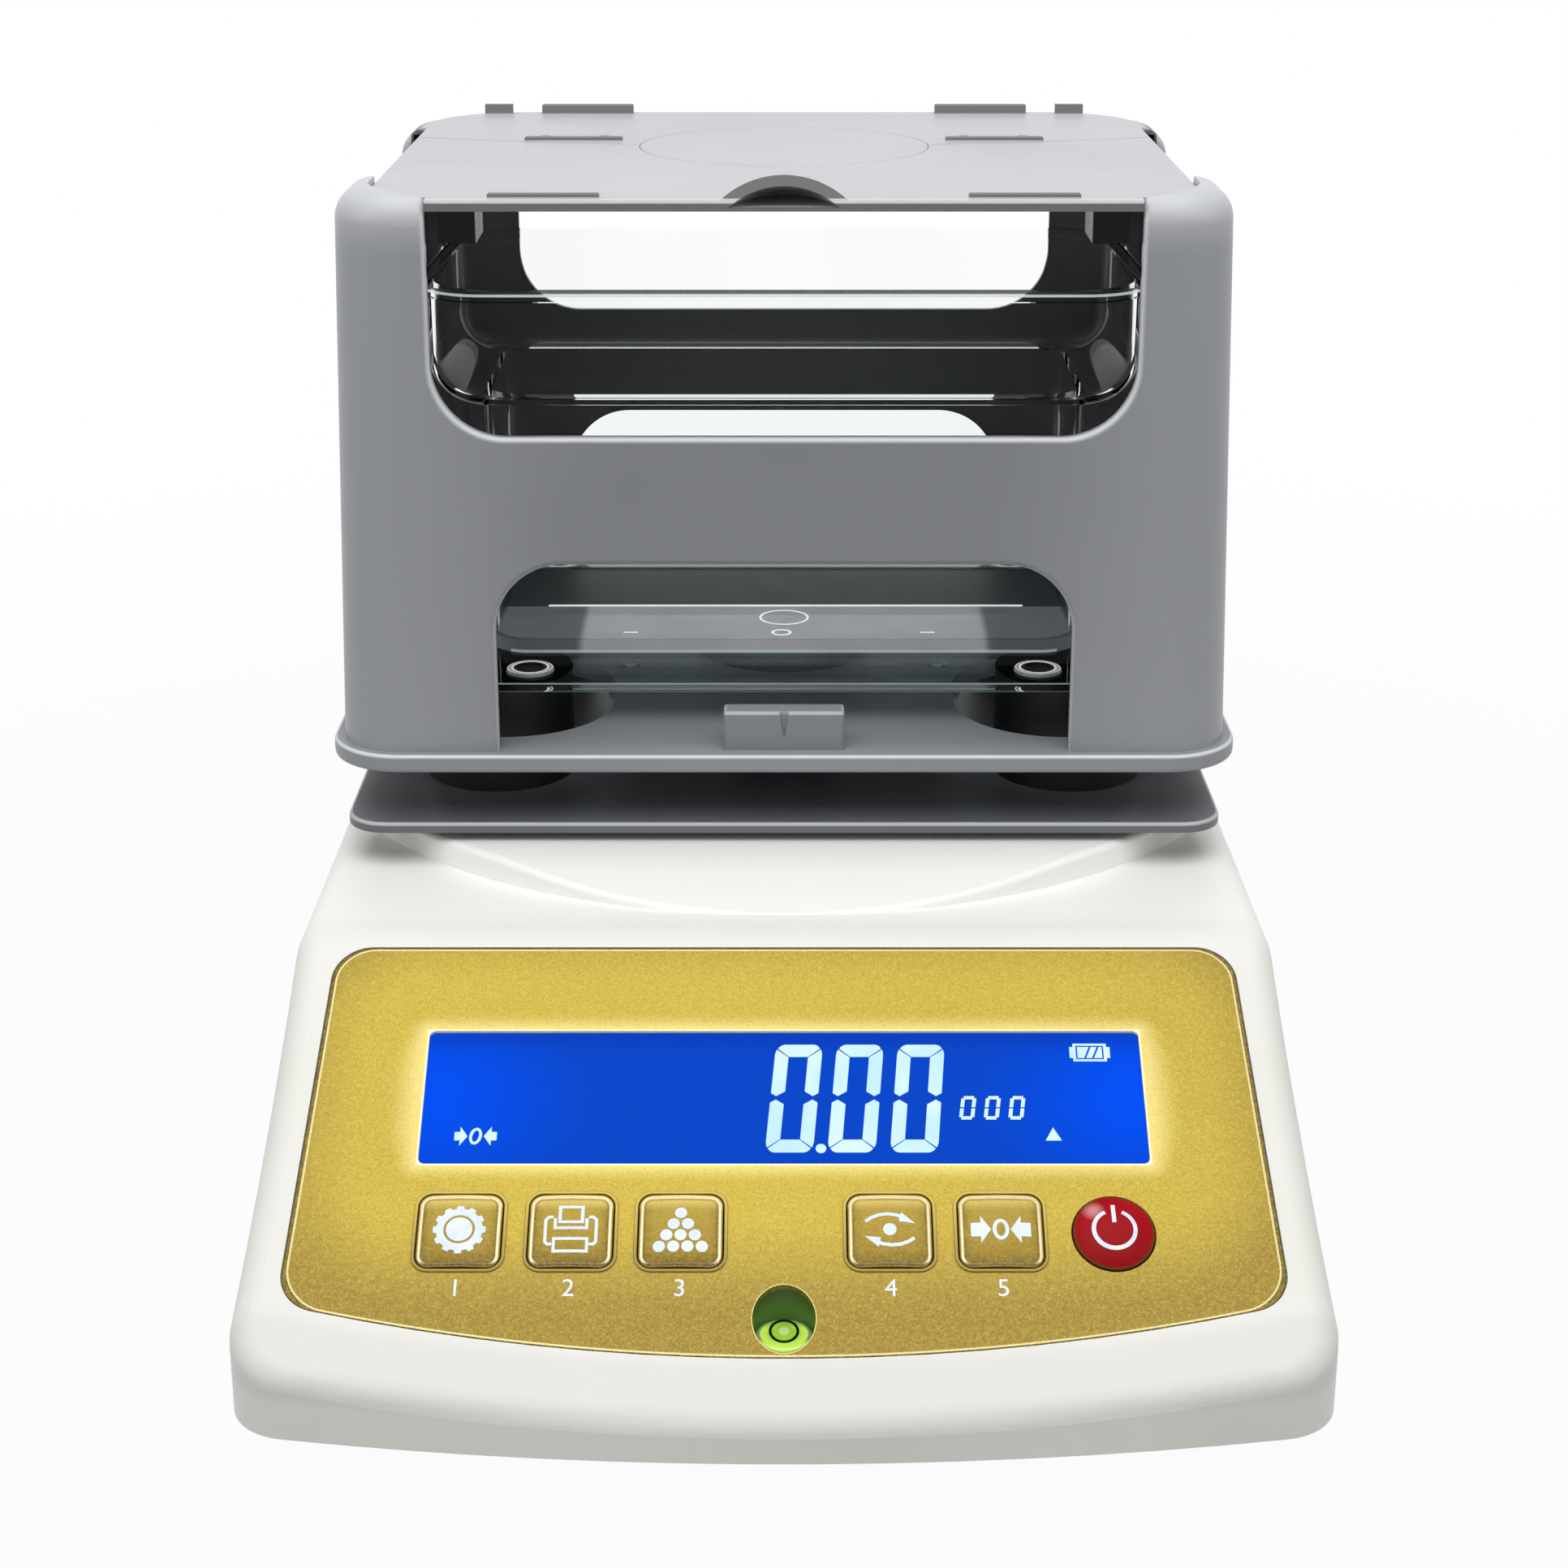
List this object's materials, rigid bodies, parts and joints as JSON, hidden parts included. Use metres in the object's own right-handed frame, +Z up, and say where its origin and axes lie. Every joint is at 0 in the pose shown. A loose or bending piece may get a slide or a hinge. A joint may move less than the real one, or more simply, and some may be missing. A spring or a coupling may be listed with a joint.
{
  "type": "benchtop density meter",
  "caption": "Benchtop density meter: a low sloping balance with display and keys, under a windowed weighing tower that stands round a clear water tank.",
  "frame": {"origin": "on the table, under the middle of the bounding box", "axes": "+Z up, +Y from the operator towards the back, +X to the operator's right"},
  "size_m": [0.2104, 0.2872, 0.2226],
  "materials": {
    "housing_white": "fine moulded texture",
    "faceplate_gold": "metallic gold print under a clear film",
    "display_clear": "polished",
    "display_blue": "backlit",
    "key_gold": "domed, clear coated",
    "rim_chrome": "polished",
    "power_red": "domed, polished",
    "board_green": "solder mask",
    "part_black": "moulded",
    "vial_green": "clear capsule with green liquid",
    "frame_grey": "fine satin",
    "lid_grey": "satin",
    "bench_grey": "satin paint",
    "post_black": "satin",
    "clear_sheet": "polished",
    "tank_clear": "polished",
    "screw_chrome": "polished",
    "screw_steel": "plated",
    "hub_blue": "satin",
    "hub_metal": "turned",
    "cell_metal": "milled",
    "battery_black": "moulded case",
    "foot_black": "moulded",
    "foot_rubber": "soft"
  },
  "bodies": {
    "balance": {"battery": "battery_black", "bench_plate": "bench_grey", "bench_posts": "post_black", "bench_standoffs": "bench_grey", "board_parts": "part_black", "body_shell": "housing_white", "bottom_cover": "housing_white", "cell_block": "cell_metal", "cell_screws": "screw_steel", "clear_shelf": "clear_sheet", "cover_screws": "screw_steel", "data_port": "screw_steel", "display_board": "board_green", "display_glass": "display_blue", "display_lens": "display_clear", "face_overlay": "faceplate_gold", "key_board": "board_green", "key_rims": "rim_chrome", "key_switches": "part_black", "level_cup": "housing_white", "level_vial": "vial_green", "load_cell": "cell_metal", "main_board": "board_green", "panel_spacers": "housing_white", "power_inlet": "part_black", "shelf_screws": "screw_chrome"},
    "carriage": {"carriage_base": "frame_grey", "tower_frame": "frame_grey", "pointer_block": "frame_grey", "hub_post": "hub_metal", "hub_cap": "hub_blue", "base_screws": "screw_steel", "rear_lid": "lid_grey", "lid_brackets": "frame_grey", "load_carrier": "hub_metal"},
    "tank": {"water_tank": "tank_clear"},
    "front_lid": {"front_lid": "lid_grey"},
    "air_pan": {"air_pan": "lid_grey"},
    "power_button": {"power_button": "power_red"},
    "key_1": {"key_1": "key_gold"},
    "key_2": {"key_2": "key_gold"},
    "key_3": {"key_3": "key_gold"},
    "key_4": {"key_4": "key_gold"},
    "key_5": {"key_5": "key_gold"},
    "foot_1": {"foot_wheel_1": "foot_black", "foot_pad_1": "foot_rubber"},
    "foot_2": {"foot_wheel_2": "foot_black", "foot_pad_2": "foot_rubber"},
    "foot_3": {"foot_wheel_3": "foot_black", "foot_pad_3": "foot_rubber"},
    "foot_4": {"foot_wheel_4": "foot_black", "foot_pad_4": "foot_rubber"}
  },
  "joints": [
    {"name": "weigh", "type": "slide", "parent": "balance", "child": "carriage", "axis": [0, 0, 1], "range_m": [-0.0006, 0], "stiffness_N_per_m": 25000, "springref_m": 0.0006, "deforming": ["load_cell"]},
    {"name": "tank_lift", "type": "slide", "parent": "balance", "child": "tank", "axis": [0, 0, 1], "range_m": [0, 0.015]},
    {"name": "front_lid_lift", "type": "slide", "parent": "carriage", "child": "front_lid", "axis": [0, 0, 1], "range_m": [0, 0.045]},
    {"name": "air_pan_lift", "type": "slide", "parent": "front_lid", "child": "air_pan", "axis": [0, 0, 1], "range_m": [0, 0.03]},
    {"name": "power_press", "type": "slide", "parent": "balance", "child": "power_button", "axis": [0, 0.524, -0.8517], "range_m": [0, 0.0007], "stiffness_N_per_m": 900, "springref_m": -0.0003},
    {"name": "key_1_press", "type": "slide", "parent": "balance", "child": "key_1", "axis": [0, 0.524, -0.8517], "range_m": [0, 0.0007], "stiffness_N_per_m": 900, "springref_m": -0.0003},
    {"name": "key_2_press", "type": "slide", "parent": "balance", "child": "key_2", "axis": [0, 0.524, -0.8517], "range_m": [0, 0.0007], "stiffness_N_per_m": 900, "springref_m": -0.0003},
    {"name": "key_3_press", "type": "slide", "parent": "balance", "child": "key_3", "axis": [0, 0.524, -0.8517], "range_m": [0, 0.0007], "stiffness_N_per_m": 900, "springref_m": -0.0003},
    {"name": "key_4_press", "type": "slide", "parent": "balance", "child": "key_4", "axis": [0, 0.524, -0.8517], "range_m": [0, 0.0007], "stiffness_N_per_m": 900, "springref_m": -0.0003},
    {"name": "key_5_press", "type": "slide", "parent": "balance", "child": "key_5", "axis": [0, 0.524, -0.8517], "range_m": [0, 0.0007], "stiffness_N_per_m": 900, "springref_m": -0.0003},
    {"name": "foot_1_turn", "type": "hinge", "parent": "balance", "child": "foot_1", "pos_m": [-0.082, -0.1096, 0], "axis": [0, 0, 1], "continuous": true},
    {"name": "foot_2_turn", "type": "hinge", "parent": "balance", "child": "foot_2", "pos_m": [0.082, -0.1096, 0], "axis": [0, 0, 1], "continuous": true},
    {"name": "foot_3_turn", "type": "hinge", "parent": "balance", "child": "foot_3", "pos_m": [-0.082, 0.1156, 0], "axis": [0, 0, 1], "continuous": true},
    {"name": "foot_4_turn", "type": "hinge", "parent": "balance", "child": "foot_4", "pos_m": [0.082, 0.1156, 0], "axis": [0, 0, 1], "continuous": true}
  ]
}
